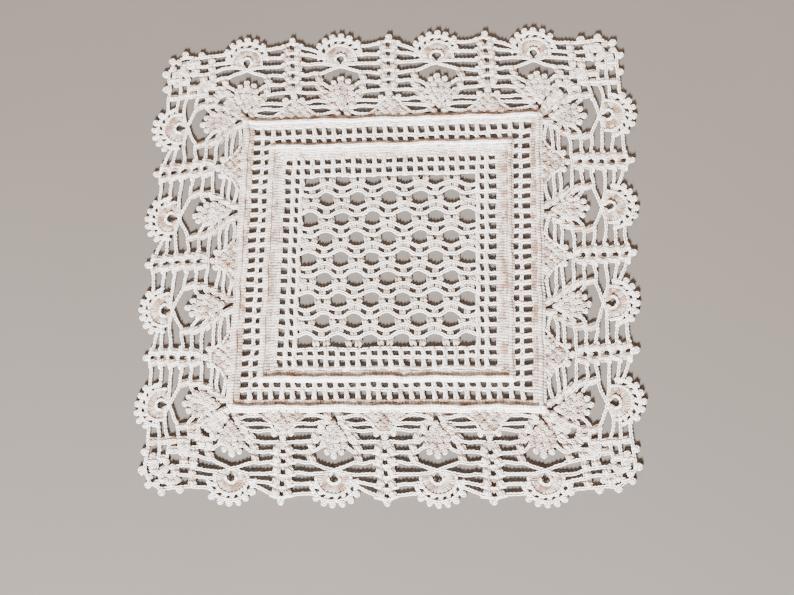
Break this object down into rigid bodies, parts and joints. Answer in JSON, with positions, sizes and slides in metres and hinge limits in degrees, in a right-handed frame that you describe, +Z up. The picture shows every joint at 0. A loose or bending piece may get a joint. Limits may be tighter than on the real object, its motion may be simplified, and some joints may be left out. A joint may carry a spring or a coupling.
{
  "type": "crochet lace doily",
  "caption": "Square openwork crochet lace doily lying flat, with a netted centre, two raised ribs and a scalloped edge of fans and ladders.",
  "frame": {"origin": "middle of the doily's box at its underside, the plane that lies on the table", "axes": "+Z up through the worked face, +Y towards the edge that is farthest from the viewer in the picture, +X to the viewer's right"},
  "size_m": [0.3092, 0.3048, 0.003],
  "materials": {
    "cotton": "matt crochet cotton thread, ivory white"
  },
  "bodies": {
    "root": {"doily": "cotton"}
  },
  "joints": []
}
